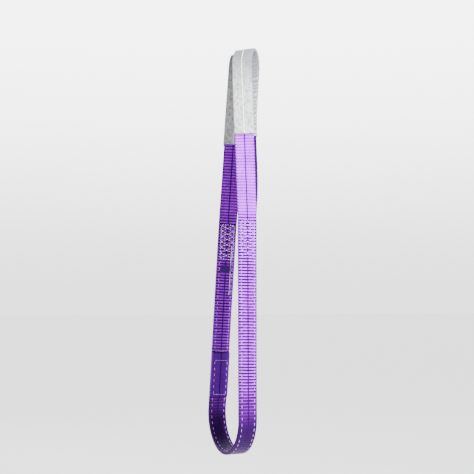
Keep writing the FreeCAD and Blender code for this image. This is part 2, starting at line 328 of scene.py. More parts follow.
def basket_station(distance, facing):
    """A ply's section anywhere from the front eye base (negative) to the rear eye base.

    At the rear eye base the plies give up a little of their inner side, which leaves room for the
    eye's tongue between them.
    """
    leg = REAR_LEG if distance > 0 else FRONT_LEG
    beyond = abs(distance) - BIGHT_HALF
    turn = 0.5 + beyond / BEND_EASE
    station = bight_station(distance, facing)
    if turn > 0:
        station = station.mixed(leg.station(beyond, facing), ease(turn))
    # Painted shade: the webbing is painted nearly black under the load, and lighter up each leg.
    lighter = ease((beyond + BIGHT_SHADE_START) / BIGHT_SHADE_BLEND)
    station.tone = mix(BIGHT_SHADE_TONE, leg.tone, lighter)
    if leg.side == REAR:
        run_in = leg.length - 2 * TONGUE_DROP
        room = TONGUE_ROOM * ease((beyond - run_in) / TONGUE_DROP)
        station.centre += station.outward * (room / 2)
        station.thickness -= room
    return station


def tongue_stations():
    """A thin dark tongue of the rear eye, from inside its base down between the leg's two plies."""
    stations = []
    for height in spread(TONGUE_RISE, -TONGUE_DROP, TONGUE_STEPS):
        station = REAR_LEG.station(REAR_LEG.length + height, OUTER)
        station.centre -= station.outward * (PLY / 2)
        station.width -= 2 * TONGUE_THICKNESS
        station.thickness = TONGUE_THICKNESS
        # Painted shade: the tongue is painted nearly black, like the shade in the gap between the plies.
        station.tone = 0.0
        stations.append(station)
    return stations


def basket_stations(start, end, facing):
    """Sections of one ply along the basket between two distances from its lowest point."""
    return [basket_station(distance, facing) for distance in spread(start, end, BASKET_STEPS)]


class Eye:
    """One eye: the limb on the front side, the crown over the hook and the limb behind.

    The offsets say how far the front and rear limbs sit along the hook bow. An eye that bunches
    has its rear limb gathered into a narrow, thick bundle. Shares count from 0 at the eye's base to
    1 at the hook, along a limb. The reach is how far the sleeve comes down from the hook.
    """

    UNBUNCHED_SHARE = 0.12
    BUNCHED_SHARE = 0.75
    LIMB_SHADE_SHARE = 0.15
    HEM_SHADE = 0.8
    HEM_SHADE_REACH = 1.6
    LIMB_STEPS = 160
    CROWN_STEPS = 40
    BASE_EASE = 8.0

    def __init__(self, leg, inner_radius, front_offset, rear_offset, bunches, reach, tilt):
        self.leg = leg
        self.inner_radius = inner_radius
        self.offsets = (front_offset, rear_offset)
        self.bunches = bunches
        self.sleeve_share = 1 - reach / -(leg.foot + leg.up * leg.length).z
        self.along = Vector((math.cos(EYE_TWIST), -math.sin(EYE_TWIST), tilt)).normalized()
        self.forward = Vector((-math.sin(EYE_TWIST), -math.cos(EYE_TWIST), 0))
        self.rise = (Z_AXIS + self.along * CROWN_LEAN).normalized()

    def section_size(self, bunching):
        """The strap's width and thickness, from flat to fully bunched."""
        if not self.bunches:
            return STRAP_WIDTH, PLY
        return mix(STRAP_WIDTH, BUNCHED_WIDTH, bunching), mix(PLY, BUNCHED_THICKNESS, bunching)

    def crown_station(self, angle):
        """A section on the crown, from 0 at the front limb to pi at the rear limb."""
        behind = max(0.0, angle / (math.pi / 2) - 1)
        width, thickness = self.section_size(behind)
        arm = self.forward * math.cos(angle) + self.rise * math.sin(angle)
        radius = self.inner_radius + SLEEVE_WALL + SLEEVE_SLACK + thickness / 2
        return Station(self.along * mix(*self.offsets, behind) + arm * radius, self.along, arm,
                       width, thickness)

    def limb_station(self, limb, share):
        """A section on one limb, from 0 at the leg to 1 at the hook."""
        crown = self.crown_station(0.0 if limb == FRONT else math.pi)
        facing = OUTER if limb == self.leg.side else INNER
        base = self.leg.station(self.leg.length, facing)
        across = mix(base.across, crown.across, share).normalized()
        outward = flat_normal(mix(base.outward, crown.outward, share), across)
        bunching = 0.0
        tone = self.leg.tone
        if limb == REAR:
            gathering = self.BUNCHED_SHARE - self.UNBUNCHED_SHARE
            bunching = ease((share - self.UNBUNCHED_SHARE) / gathering)
            # Painted shade: the rear limb of each eye is painted nearly black from a little above its base.
            tone = mix(tone, REAR_LIMB_SHADE_TONE, ease(share / self.LIMB_SHADE_SHARE))
        below_hem = (self.sleeve_share - share) * (crown.centre - base.centre).length
        tone *= 1 - self.HEM_SHADE * math.exp(-(below_hem / self.HEM_SHADE_REACH) ** 2)
        return Station(mix(base.centre, crown.centre, share), across, outward,
                       *self.section_size(bunching), tone)

    def stations(self, lowest_share):
        """Close sections of the eye above a share, up the front limb, over and down behind."""
        shares = spread(lowest_share, 1.0, self.LIMB_STEPS)[:-1]
        return ([self.limb_station(FRONT, share) for share in shares]
                + [self.crown_station(angle) for angle in spread(0.0, math.pi, self.CROWN_STEPS)]
                + [self.limb_station(REAR, share) for share in reversed(shares)])

    def strap_stations(self, low):
        """The webbing from a height on the front ply of the leg, round the eye, and down again."""
        if low >= self.leg.length:
            return self.stations(0.0)
        front_facing = OUTER if self.leg.side == FRONT else INNER
        high = self.leg.length - self.BASE_EASE
        up = self.leg.stations(low, high, front_facing)
        down = self.leg.stations(low, high, -front_facing)
        return up + self.stations(self.BASE_EASE / -FRONT_TOP.z) + down[::-1]


FRONT_EYE = Eye(FRONT_LEG, LAPPED_RADIUS, front_offset=3.0, rear_offset=16.0, bunches=True,
                reach=FRONT_SLEEVE_REACH, tilt=0.08)
REAR_EYE = Eye(REAR_LEG, HOOK_RADIUS, front_offset=-4.0, rear_offset=-11.0, bunches=False,
               reach=REAR_SLEEVE_REACH, tilt=0.0)


# --- Mesh code: webbing, sleeves and threads ---

EDGE_STEPS = 5
STRAP_COLUMNS = 18
CORNER_BLEND = 4.0
LEAST_RELIEF = 0.25
SEWN_VALLEY = 0.14
SELVEDGE_LOOP = 0.025
RIB_BOW = 0.9
RIB_BOW_RATE = 0.016
RIB_BOW_BLEND = 30.0
SMOOTH_RIBBING = 0.1


def resample(stations, spacing):
    """Even steps along the stations' middle line: a list of (distance, station)."""
    marks = [0.0]
    for before, after in zip(stations, stations[1:]):
        marks.append(marks[-1] + (after.centre - before.centre).length)
    count = max(2, round(marks[-1] / spacing))
    steps = []
    index = 0
    for target in spread(0.0, marks[-1], count):
        while index < len(stations) - 2 and marks[index + 1] < target:
            index += 1
        share = (target - marks[index]) / (marks[index + 1] - marks[index])
        steps.append((target, stations[index].mixed(stations[index + 1], share)))
    return steps


def outline(width, thickness, columns, corner):
    """A flat oval section as (sideways, outward, face) points; face is how much it faces outward."""
    half, rise = width / 2, thickness / 2
    flat = half - corner
    top = [(across, rise, 1.0) for across in spread(-flat, flat, columns)]
    side = []
    for angle in spread(math.pi / 2, -math.pi / 2, EDGE_STEPS)[1:-1]:
        side.append((flat + corner * math.cos(angle), rise * math.sin(angle), math.sin(angle)))
    around = top + side
    return around + [(-across, -outward, -face) for across, outward, face in around]


def make_object(name, verts, faces, uvs, material):
    """A smooth mesh object in metres, from points in millimetres, with a UV point per vertex."""
    mesh = bpy.data.meshes.new(name)
    mesh.from_pydata([point * MM for point in verts], [], faces)
    layer = mesh.uv_layers.new(name="strap")
    for loop in mesh.loops:
        layer.data[loop.index].uv = uvs[loop.vertex_index]
    mesh.polygons.foreach_set("use_smooth", [True] * len(mesh.polygons))
    mesh.materials.append(material)
    shape = bmesh.new()
    shape.from_mesh(mesh)
    bmesh.ops.recalc_face_normals(shape, faces=shape.faces)
    shape.to_mesh(mesh)
    shape.free()
    piece = bpy.data.objects.new(name, mesh)
    bpy.context.scene.collection.objects.link(piece)
    return piece


def ring_faces(rings, size, closed):
    """Quads between successive rings of points, and a cap at each end unless the rings close."""
    faces = []
    for ring in range(rings if closed else rings - 1):
        here, there = ring * size, (ring + 1) % rings * size
        for index in range(size):
            after = (index + 1) % size
            faces.append((here + index, here + after, there + after, there + index))
    if not closed:
        faces.append(tuple(reversed(range(size))))
        faces.append(tuple((rings - 1) * size + index for index in range(size)))
    return faces


def store(piece, name, values):
    """Store one number per vertex under a name, for a material to read."""
    layer = piece.data.attributes.new(name, "FLOAT", "POINT")
    layer.data.foreach_set("value", values)


def ribbing_change(low, high, start, blend):
    """A function of height that says how deep the ribs are: from low to high over a blend."""
    return lambda height: mix(low, high, ease((height - start) / blend))


# Tension flattens the ribs under the load, and they are a little shallower in the eyes.
full_ribbing = ribbing_change(PRESSED_RIBBING, 1.0, FRONT_FOOT.z - PRESSED_RIB_BLEND / 2,
                              PRESSED_RIB_BLEND)
front_eye_ribbing = ribbing_change(1.0, FRONT_EYE_RIBBING, FRONT_TOP.z, EYE_RIB_BLEND)
rear_eye_ribbing = ribbing_change(1.0, REAR_EYE_RIBBING, FRONT_TOP.z, EYE_RIB_BLEND)
smooth_ribbing = ribbing_change(SMOOTH_RIBBING, SMOOTH_RIBBING, FRONT_TOP.z, EYE_RIB_BLEND)


def rib_bow(mark, start, inset):
    """How far the ribs bow along the strap in its middle; they are straight at both ends."""
    wander = noise.noise(Vector((mark * RIB_BOW_RATE, start, 0)))
    return RIB_BOW * wander * ease(inset / RIB_BOW_BLEND)


def make_strap(name, stations, start, direction, material, ribbing=full_ribbing, corner_drop=0.0):
    """Woven webbing: ribs across both faces, looped selvedges and shallow valleys at the sewn rows.

    start is the strap's own length mark at the first station, and the marks count up or down in
    the given direction. Both ends are in a groove. ribbing says how deep the ribs are at a height.
    corner_drop is how far the corners of the last end fall short of its middle. Returns the object
    and the length mark at its last end.
    """
    steps = resample(stations, RIB_PITCH / RIB_SAMPLES)
    length = steps[-1][0]
    stretch = round(length / RIB_PITCH) * RIB_PITCH / length
    forward = (steps[-1][1].centre - steps[-2][1].centre).normalized()
    verts, uvs, depths, tones = [], [], [], []
    for distance, station in steps:
        mark = start + direction * distance * stretch
        depth = ribbing(station.centre.z)
        shortfall = corner_drop * ease((distance - length + CORNER_BLEND) / CORNER_BLEND)
        groove = 1 - math.sqrt(abs(math.sin(math.pi * mark / RIB_PITCH)))
        along = station.outward.cross(station.across)
        bow = rib_bow(mark, start, min(distance, length - distance))
        for across, outward, face in outline(station.width, station.thickness, STRAP_COLUMNS,
                                             SELVEDGE_ROUND):
            share = across / station.width * 2
            drop = RIB_HEIGHT * groove * abs(face) * mix(LEAST_RELIEF, 1.0, depth)
            drop += SEWN_VALLEY * math.exp(-(abs(across) - STITCH_ROW) ** 2) * abs(face)
            edge = across * (1 - SELVEDGE_LOOP * groove * depth * (1 - abs(face)))
            lift = outward - math.copysign(drop, outward)
            verts.append(station.point(edge, lift - station.thickness / 2)
                         + along * (bow * (1 - share * share))
                         - forward * (shortfall * share * share))
            uvs.append((share * STRAP_WIDTH / 2, mark))
            depths.append(depth)
            tones.append(station.tone)
    size = len(verts) // len(steps)
    piece = make_object(name, verts, ring_faces(len(steps), size, False), uvs, material)
    store(piece, "ribbing", depths)
    store(piece, "tone", tones)
    return piece, start + direction * length * stretch


class Sleeve:
    """A flat fabric tube round a strap: turned ends, soft folds, a felled seam, pleats where it bunches.

    Lengths are in millimetres, and rates are per millimetre along or across the strap.
    """

    SPACING = 1.2
    COLUMNS = 28
    EDGE_ROUND = 2.0
    LINING_WALL = 0.15
    LINING_SHARE = 0.4

    FOLD_HEIGHT = 0.25
    FOLD_RATES = (0.05, 0.045)
    FINE_FOLD_SHARE = 0.5
    FINE_FOLD_SCALE = 2.7

    PLEAT_HEIGHT = 1.0
    PLEAT_SPREAD = 0.05
    PLEAT_RATE = 0.85
    PLEAT_DRIFT = 1.4
    PLEAT_DRIFT_RATE = 0.21
    PLEAT_SLANT = 0.12

    HEM_LENGTH = 7.0
    HEM_STEP = 1.2
    HEM_EDGE = 0.6
    HEM_HEIGHT = 0.3
    FELL_HALF = 3.0
    FELL_STEP = 0.9
    FELL_HEIGHT = 0.35

    # The sleeve is painted darker towards the top of the crown, and with painted shade along its edge
    # folds.
    TOP_DARKENING = 0.85
    TOP_DARKENING_BELOW_HOOK = 62.0
    TOP_DARKENING_BLEND = 80.0
    EDGE_SHADE = 0.8
    EDGE_START = 0.92
    EDGE_BLEND = 0.06

    def __init__(self, stations, seed):
        self.steps = resample(stations, self.SPACING)
        self.length = self.steps[-1][0]
        self.seed = seed

    def fold(self, distance, across):
        """A slow fold pattern for loose fabric, from about -1 to 1."""
        place = Vector((across * self.FOLD_RATES[0], distance * self.FOLD_RATES[1], self.seed))
        return noise.noise(place) + self.FINE_FOLD_SHARE * noise.noise(place * self.FINE_FOLD_SCALE)

    def pleat(self, distance, across):
        """The pleats of gathered fabric, from -1 in a valley to 1 on a crest."""
        drift = self.PLEAT_DRIFT * math.sin(distance * self.PLEAT_DRIFT_RATE)
        return math.sin(distance * self.PLEAT_RATE + drift + across * self.PLEAT_SLANT)

    def sewn_relief(self, distance, across, face):
        """What is sewn on the outside: the turned hems, and the felled seam on the outward face."""
        inset = min(distance, self.length - distance)
        hem = self.HEM_HEIGHT * ease((self.HEM_LENGTH - inset) / self.HEM_STEP)
        hem *= ease(inset / self.HEM_EDGE)
        seam = self.FELL_HEIGHT * ease((self.FELL_HALF - abs(across)) / self.FELL_STEP)
        return hem * abs(face) + (seam if face > 0 else 0.0)

    def shade_and_darkening(self, height, edge_share, bunching, pleat):
        """How much darker the fabric is painted, up to 1: darker towards the top of the crown, with painted
        shade on the edge folds and over the bunched part, most in its pleat valleys.
        """
        top_darkening = self.TOP_DARKENING * ease((height + self.TOP_DARKENING_BELOW_HOOK) / self.TOP_DARKENING_BLEND)
        edge = self.EDGE_SHADE * ease((edge_share - self.EDGE_START) / self.EDGE_BLEND)
        return min(1.0, top_darkening + edge + bunching * (0.5 - 0.5 * pleat))

    def ring(self, distance, station, outside):
        """One ring of the outside or the lining: each corner's point, strap place and painted darkening."""
        margin = SLEEVE_SLACK + (SLEEVE_WALL if outside else self.LINING_WALL)
        half = station.width / 2 + margin
        bunching = ease((STRAP_WIDTH - station.width) / (STRAP_WIDTH - BUNCHED_WIDTH))
        ring = []
        for across, outward, face in outline(2 * half, station.thickness + 2 * margin, self.COLUMNS,
                                             self.EDGE_ROUND):
            pleat = self.pleat(distance, across)
            lift = (self.FOLD_HEIGHT * self.fold(distance, across) * abs(face)
                    + self.PLEAT_HEIGHT * bunching * pleat)
            if outside:
                lift += self.sewn_relief(distance, across, face)
            else:
                lift *= self.LINING_SHARE
            side = across * (1 + self.PLEAT_SPREAD * bunching * pleat)
            rise = outward + math.copysign(lift, outward) - station.thickness / 2
            shade_and_darkening = self.shade_and_darkening(station.centre.z, abs(across) / half, bunching, pleat)
            ring.append((station.point(side, rise), (across, distance), shade_and_darkening))
        return ring

    def finish(self, name, material):
        """The sleeve's object: rings along the outside, then back along the lining."""
        rings = [self.ring(distance, station, True) for distance, station in self.steps]
        rings += [self.ring(distance, station, False) for distance, station in reversed(self.steps)]
        verts, uvs, shade_and_darkening_values = zip(*[corner for ring in rings for corner in ring])
        piece = make_object(name, verts, ring_faces(len(rings), len(rings[0]), True), uvs, material)
        store(piece, "shade_and_darkening", shade_and_darkening_values)
        return piece


class Threads:
    """A group of sewn stitches that becomes one object."""

    SPACING = 1.0
    RINGS = 6
    SIDES = 8
    ARCH_HEIGHT = 1.35
    ARCH_SINK = 0.75
    END_GIRTH = 0.55
    FLATTENING = 0.8
    JITTER = 0.12
    GAP_SHARE = 0.06

    def __init__(self):
        self.verts = []
        self.faces = []
        self.uvs = []

    def add(self, start, end, outward, radius=THREAD_RADIUS, lift=THREAD_RAISE):
        """One stitch: a soft round bar whose ends sink into the fabric."""
        run = end - start
        side = outward.cross(run).normalized()
        first = len(self.verts)
        for share in spread(0.0, 1.0, self.RINGS):
            arch = math.sqrt(math.sin(math.pi * share) + 1e-9)
            centre = start + run * share + outward * (lift * (self.ARCH_HEIGHT * arch - self.ARCH_SINK))
            girth = radius * mix(self.END_GIRTH, 1.0, arch)
            for index in range(self.SIDES):
                angle = 2 * math.pi * index / self.SIDES
                self.verts.append(centre + side * girth * math.cos(angle)
                                  + outward * girth * self.FLATTENING * math.sin(angle))
                self.uvs.append((index * 2 * radius / self.SIDES, share * run.length))
        self.faces.extend(tuple(first + index for index in face)
                          for face in ring_faces(self.RINGS + 1, self.SIDES, False))

    def add_line(self, points, outward, pitch, length, radius=THREAD_RADIUS):
        """Stitches one after another along a line of points."""
        for start, end in zip(points, points[1:]):
            run = end - start
            count = max(1, round(run.length / pitch))
            for index in range(count):
                middle = mix(start, end, (index + 0.5) / count)
                longest = run.length / count * (1 - self.GAP_SHARE)
                half = run.normalized() * min(length, longest) / 2
                jitter = outward.cross(run).normalized() * random.uniform(-self.JITTER, self.JITTER)
                self.add(middle - half + jitter, middle + half - jitter, outward, radius)

    def add_along(self, stations, across, pitch, length, radius=THREAD_RADIUS, base=0.0):
        """Stitches along a strap's outward face: across from its middle, and a base height above it."""
        steps = resample(stations, self.SPACING)
        total = steps[-1][0]
        count = max(1, round(total / pitch))
        for index in range(count):
            middle = (index + 0.5) * total / count
            begin, finish = [steps[round((middle + half) / total * (len(steps) - 1))][1]
                             for half in (-length / 2, length / 2)]
            offset = across + random.uniform(-self.JITTER, self.JITTER)
            self.add(begin.point(offset, base), finish.point(offset, base),
                     mix(begin.outward, finish.outward, 0.5).normalized(), radius)

    def finish(self, name, material):
        """The object that holds the stitches."""
        return make_object(name, self.verts, self.faces, self.uvs, material)


# --- Materials ---

class Paint:
    """A material under construction, with short calls for the nodes that it needs."""

    SHEEN_ROUGHNESS = 0.45
    ROUGH_FROM, ROUGH_TO = 0.2, 0.8

    def __init__(self, name, specular, sheen, tint):
        self.material = bpy.data.materials.new(name)
        self.material.use_nodes = True
        self.nodes = self.material.node_tree.nodes
        self.links = self.material.node_tree.links
        self.shader = self.nodes["Principled BSDF"]
        self.shader.inputs["Specular IOR Level"].default_value = specular
        self.shader.inputs["Specular Tint"].default_value = tint
        self.shader.inputs["Sheen Weight"].default_value = sheen
        self.shader.inputs["Sheen Roughness"].default_value = self.SHEEN_ROUGHNESS
        self.shader.inputs["Sheen Tint"].default_value = tint

    def put(self, socket, value):
        """Set a socket to a number or colour, or link it."""
        if isinstance(value, bpy.types.NodeSocket):
            self.links.new(value, socket)
        else:
            socket.default_value = value

    def math(self, operation, first, second=0.0):
        """A Math node's result."""
        node = self.nodes.new("ShaderNodeMath")
        node.operation = operation
        self.put(node.inputs[0], first)
        self.put(node.inputs[1], second)
        return node.outputs[0]

    def wave(self, value, pitch):
        """Rounded ridges, one for each pitch, from 0 in the groove to 1."""
        return self.math("ABSOLUTE", self.math("SINE", self.math("MULTIPLY", value, math.pi / pitch)))

    def step(self, value, low, high, start=0.0, end=1.0):
        """A smooth step from start to end as the value goes from low to high."""
        node = self.nodes.new("ShaderNodeMapRange")
        node.interpolation_type = "SMOOTHSTEP"
        for index, item in enumerate((value, low, high, start, end)):
            self.put(node.inputs[index], item)
        return node.outputs[0]

    def noise(self, vector, scale, detail=3.0):
        """A noise texture's value."""
        node = self.nodes.new("ShaderNodeTexNoise")
        node.inputs["Scale"].default_value = scale
        node.inputs["Detail"].default_value = detail
        self.links.new(vector, node.inputs["Vector"])
        return node.outputs["Fac"]

    def mixed(self, share, first, second):
        """A colour that lies this share of the way from the first to the second."""
        node = self.nodes.new("ShaderNodeMix")
        node.data_type = "RGBA"
        self.put(node.inputs[0], share)
        self.put(node.inputs[6], first)
        self.put(node.inputs[7], second)
        return node.outputs[2]

    def strap_place(self):
        """The strap's own coordinates in millimetres: the vector, across and along."""
        uv = self.nodes.new("ShaderNodeUVMap")
        uv.uv_map = "strap"
        parts = self.nodes.new("ShaderNodeSeparateXYZ")
        self.links.new(uv.outputs[0], parts.inputs[0])
        return uv.outputs[0], parts.outputs[0], parts.outputs[1]

    def attribute(self, name):
        """A number stored on the mesh."""
        node = self.nodes.new("ShaderNodeAttribute")
        node.attribute_name = name
        return node.outputs["Fac"]

    def bump(self, height, strength, distance):
        """Relief on the whole surface; distance is in millimetres."""
        node = self.nodes.new("ShaderNodeBump")
        node.inputs["Strength"].default_value = strength
        node.inputs["Distance"].default_value = distance * MM
        self.links.new(height, node.inputs["Height"])
        self.links.new(node.outputs[0], self.shader.inputs["Normal"])

    def finish(self, colour, rough_share, smooth, rough):
        """Use the colour, and a roughness that varies with a share from 0 to 1."""
        self.links.new(colour, self.shader.inputs["Base Color"])
        roughness = self.step(rough_share, self.ROUGH_FROM, self.ROUGH_TO, smooth, rough)
        self.links.new(roughness, self.shader.inputs["Roughness"])
        return self.material


def shade(red, green, blue):
    """An sRGB colour from 0 to 255 as a linear colour."""
    linear = [((part / 255 + 0.055) / 1.055) ** 2.4 for part in (red, green, blue)]
    return (*linear, 1.0)


CORD_PITCH = 1.1
STRIPE_HALF = 0.75
STRIPE_FADE = 1.25
FRINGE_FROM = 13.2
FRINGE_TO = 14.2
TWIST_PITCH = 0.75


def webbing_paint(name, light, dark, stripe):
    """Ribbed polyester webbing: bright ribs of fine warp cords, painted shade in the grooves and between
    the cords, and a dark woven stripe.
    """
    paint = Paint(name, specular=0.08, sheen=0.02, tint=(0.6, 0.2, 1.0, 1.0))
    vector, across, along = paint.strap_place()
    centre = paint.math("ABSOLUTE", across)
    ribbing = paint.attribute("ribbing")
    rib = paint.wave(along, RIB_PITCH)
    rib_index = paint.math("FLOOR", paint.math("DIVIDE", along, RIB_PITCH))
    cord_place = paint.math("ADD", across, paint.math("MULTIPLY", rib_index, CORD_PITCH / 2))
    cord = paint.wave(cord_place, CORD_PITCH)
    speckle = paint.noise(vector, 1.5, 4.0)
    patch = paint.noise(vector, 0.16, 2.0)
    cloud = paint.noise(vector, 0.05, 3.0)
    width = paint.step(patch, 0.3, 0.7, start=0.75, end=1.05)
    # Painted shade in the grooves between the ribs, with more of it near the selvedges.
    groove = paint.math("MULTIPLY", paint.step(rib, 0.5, width, start=1.0, end=0.0), ribbing)
    fringe = paint.math("MULTIPLY", paint.step(centre, FRINGE_FROM, FRINGE_TO), ribbing)
    groove = paint.math("MULTIPLY", groove, paint.math("ADD", fringe, 1.0))
    groove = paint.math("MINIMUM", groove, 1.0)
    # Painted shade from the mesh's tone.
    body = paint.mixed(paint.attribute("tone"), dark, light)
    body = paint.mixed(groove, body, dark)
    # Painted shade between the warp cords.
    body = paint.mixed(paint.step(cord, 0.0, 0.6, start=0.35, end=0.0), body, dark)
    body = paint.mixed(paint.step(speckle, 0.4, 0.75, end=0.35), body, dark)
    body = paint.mixed(paint.step(cloud, 0.35, 0.7, end=0.25), body, dark)
    body = paint.mixed(paint.step(centre, STRIPE_HALF, STRIPE_FADE, start=0.95, end=0.0), body, stripe)
    relief = paint.math("ADD", paint.math("MULTIPLY", cord, 0.6), paint.math("MULTIPLY", speckle, 0.5))
    relief = paint.math("ADD", relief, paint.math("MULTIPLY", rib, 0.5))
    paint.bump(relief, strength=0.7, distance=0.3)
    return paint.finish(body, speckle, smooth=0.4, rough=0.62)


def cloth_paint(name, light, dark, weave_pitch, grime, roughness, relief):
    """Plain close cloth: a fine weave with uneven yarns and faint grime.

    It is darker where the mesh's painted darkening is above 0: painted shade on the sleeves, and a
    darkening towards their crown.
    """
    paint = Paint(name, specular=0.2, sheen=0.05, tint=(1.0, 1.0, 1.0, 1.0))
    vector, across, along = paint.strap_place()
    weave = paint.math("MULTIPLY", paint.wave(across, weave_pitch), paint.wave(along, weave_pitch * 1.1))
    speckle = paint.noise(vector, 0.45, 4.0)
    slub = paint.noise(vector, 0.16, 5.0)
    cloud = paint.noise(vector, 0.05, 4.0)
    body = paint.mixed(paint.step(weave, 0.0, 0.8, start=0.4, end=0.0), light, dark)
    body = paint.mixed(paint.step(speckle, 0.35, 0.7, end=0.5), body, dark)
    body = paint.mixed(paint.step(slub, 0.45, 0.62, end=0.55), body, dark)
    body = paint.mixed(paint.step(cloud, 0.4, 0.7, end=grime), body, dark)
    # Painted shade, and darkening towards the crown, as stored on the sleeve's mesh.
    body = paint.mixed(paint.attribute("shade_and_darkening"), body, dark)
    height = paint.math("ADD", weave, paint.math("MULTIPLY", speckle, 0.7))
    paint.bump(height, strength=0.7, distance=relief)
    return paint.finish(body, speckle, smooth=roughness - 0.1, rough=roughness + 0.1)


def thread_paint(name, light, dark):
    """Twisted sewing thread."""
    paint = Paint(name, specular=0.12, sheen=0.03, tint=(0.9, 0.8, 1.0, 1.0))
    vector, across, along = paint.strap_place()
    twist = paint.wave(paint.math("ADD", along, across), TWIST_PITCH)
    speckle = paint.noise(vector, 0.7, 2.0)
    body = paint.mixed(paint.step(twist, 0.0, 0.6, start=0.5, end=0.0), light, dark)
    body = paint.mixed(paint.step(speckle, 0.4, 0.75, end=0.4), body, dark)
    paint.bump(twist, strength=0.6, distance=0.15)
    return paint.finish(body, speckle, smooth=0.38, rough=0.55)


WEBBING = webbing_paint("webbing_paint", light=(0.48, 0.01, 1.0, 1), dark=(0.008, 0.0005, 0.028, 1),
                        stripe=(0.012, 0.0006, 0.035, 1))
# Painted shade: the lap's webbing is painted much darker than the rest of the webbing.
SHADED_LAP_WEBBING = webbing_paint("lap_shade_webbing_paint", light=(0.1, 0.003, 0.28, 1),
                            dark=(0.01, 0.0005, 0.03, 1), stripe=(0.01, 0.0005, 0.025, 1))
SLEEVE = cloth_paint("sleeve_paint", light=(0.51, 0.51, 0.51, 1), dark=(0.11, 0.118, 0.13, 1),
                     weave_pitch=0.75, grime=0.35, roughness=0.75, relief=0.2)
SEAM = thread_paint("seam_paint", shade(244, 244, 246), shade(196, 196, 200))
STITCH = thread_paint("stitch_paint", (0.5, 0.28, 0.72, 1), (0.22, 0.08, 0.38, 1))
TACK = thread_paint("tack_paint", (0.05, 0.0015, 0.13, 1), (0.01, 0.0006, 0.03, 1))
FRONT_SPLICE = thread_paint("front_splice_paint", (0.6, 0.3, 0.9, 1), (0.2, 0.05, 0.36, 1))
# Painted light: the rear splice's thread is painted brighter than the front splice's, so that it looks lit
# in the rear leg's shade.
REAR_SPLICE = thread_paint("rear_splice_paint", (1.0, 0.82, 1.0, 1), (0.6, 0.38, 0.8, 1))
LABEL = cloth_paint("label_paint", light=shade(44, 78, 150), dark=shade(22, 42, 92),
                    weave_pitch=0.5, grime=0.35, roughness=0.45, relief=0.1)


# --- Pieces: the webbing ---

random.seed(7)

# The front plies end at the split, a whole number of ribs from the lowest point. Above it they are
# one piece with the front eye.
SPLIT_ABOVE_BIGHT = 150.0
SPLIT = RIB_PITCH * round((BIGHT_HALF + SPLIT_ABOVE_BIGHT) / RIB_PITCH)
SPLIT_HEIGHT = SPLIT - BIGHT_HALF
REAR_END = BIGHT_HALF + REAR_LEG.length - EYE_GAP


front_route = FRONT_EYE.strap_stations(SPLIT_HEIGHT)
front_strap, front_end = make_strap("front_eye_strap", front_route, 0.0, -1, WEBBING,
                                     front_eye_ribbing)
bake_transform(front_strap)
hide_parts("front_eye_webbing")

for facing, ply, start in ((OUTER, "outer", 0.0), (INNER, "inner", front_end)):
    direction = 1 if facing == OUTER else -1
    strap, middle = make_strap(f"front_{ply}_ply", basket_stations(-SPLIT, 0.0, facing),
                               start, direction, WEBBING)
    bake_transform(strap)
    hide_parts(f"front_leg_{ply}_ply", f"bight_{ply}_ply")
    strap, end = make_strap(f"rear_{ply}_ply", basket_stations(0.0, REAR_END, facing),
                            middle, direction, WEBBING, corner_drop=EYE_CORNER_GAP)
    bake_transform(strap)
    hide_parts(f"rear_leg_{ply}_ply")

# The rear eye goes on from the inner ply, which the loop made last.
rear_route = REAR_EYE.strap_stations(REAR_LEG.length)
rear_strap, rear_end = make_strap("rear_eye_strap", rear_route, end, 1, WEBBING, rear_eye_ribbing)
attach(rear_strap, "hook_end")
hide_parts("rear_eye_webbing")

tongue, tongue_end = make_strap("rear_eye_tongue", tongue_stations(), 0.0, 1, WEBBING, smooth_ribbing)
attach(tongue, "hook_end")


# --- Pieces: the sleeves and their seams ---

SEAM_PITCH = 4.0
SEAM_STITCH = 3.4
SEAM_RADIUS = 0.6
SEAM_RAISE = 0.45
SEAM_BASE = SLEEVE_WALL + SLEEVE_SLACK + SEAM_RAISE
SEAM_INSET = 3

for name, eye, seed in (("front", FRONT_EYE, 2.0), ("rear", REAR_EYE, 7.5)):
    route = eye.stations(eye.sleeve_share)
    tube = Sleeve(route, seed)
    sleeve = tube.finish(f"{name}_sleeve", SLEEVE)
    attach(sleeve, "hook_end")
    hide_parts(f"{name}_eye_sleeve")
    seam = Threads()
    seam.add_along(route[SEAM_INSET:-SEAM_INSET], 0.0, SEAM_PITCH, SEAM_STITCH, SEAM_RADIUS, SEAM_BASE)
    threads = seam.finish(f"{name}_seam_stitches", SEAM)
    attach(threads, "hook_end")
    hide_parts(f"{name}_sleeve_seam")


# --- Pieces: the sewn rows and splices ---

SPLICE_CELLS = 3
SPLICE_PITCH = 4.6
SPLICE_STITCH = 3.0
SPLICE_END_STITCH = 2.0
SPLICE_END_GAP = 1.5
SEWN_GAP = 4.0
SEWN_TOP = SPLICE_LOW - SEWN_GAP
ROWS = (-STITCH_ROW, STITCH_ROW)


def sew_rows(threads, stations):
    """The two rows that hold the plies together."""
    for across in ROWS:
        threads.add_along(stations, across, STITCH_PITCH, STITCH_LENGTH)


def sew_splice(threads, leg, facing):
    """Two crossed zigzags between two edge rows and two end rows, below an eye."""
    def place(across, height):
        return leg.station(height, facing).point(across, 0.0)

    outward = leg.station(SPLICE_LOW, facing).outward
    heights = spread(SPLICE_LOW, SPLICE_HIGH, 2 * SPLICE_CELLS)
    for side in ROWS:
        corners = [place(side * (-1) ** index, height) for index, height in enumerate(heights)]
        threads.add_line(corners, outward, SPLICE_PITCH, SPLICE_STITCH)
        edge = [place(side, height) for height in (SPLICE_LOW, SPLICE_HIGH)]
        threads.add_line(edge, outward, SPLICE_PITCH, SPLICE_STITCH)
    for height in (SPLICE_LOW - SPLICE_END_GAP, SPLICE_HIGH + SPLICE_END_GAP):
        row = [place(across, height) for across in ROWS]
        threads.add_line(row, outward, SPLICE_PITCH, SPLICE_END_STITCH)


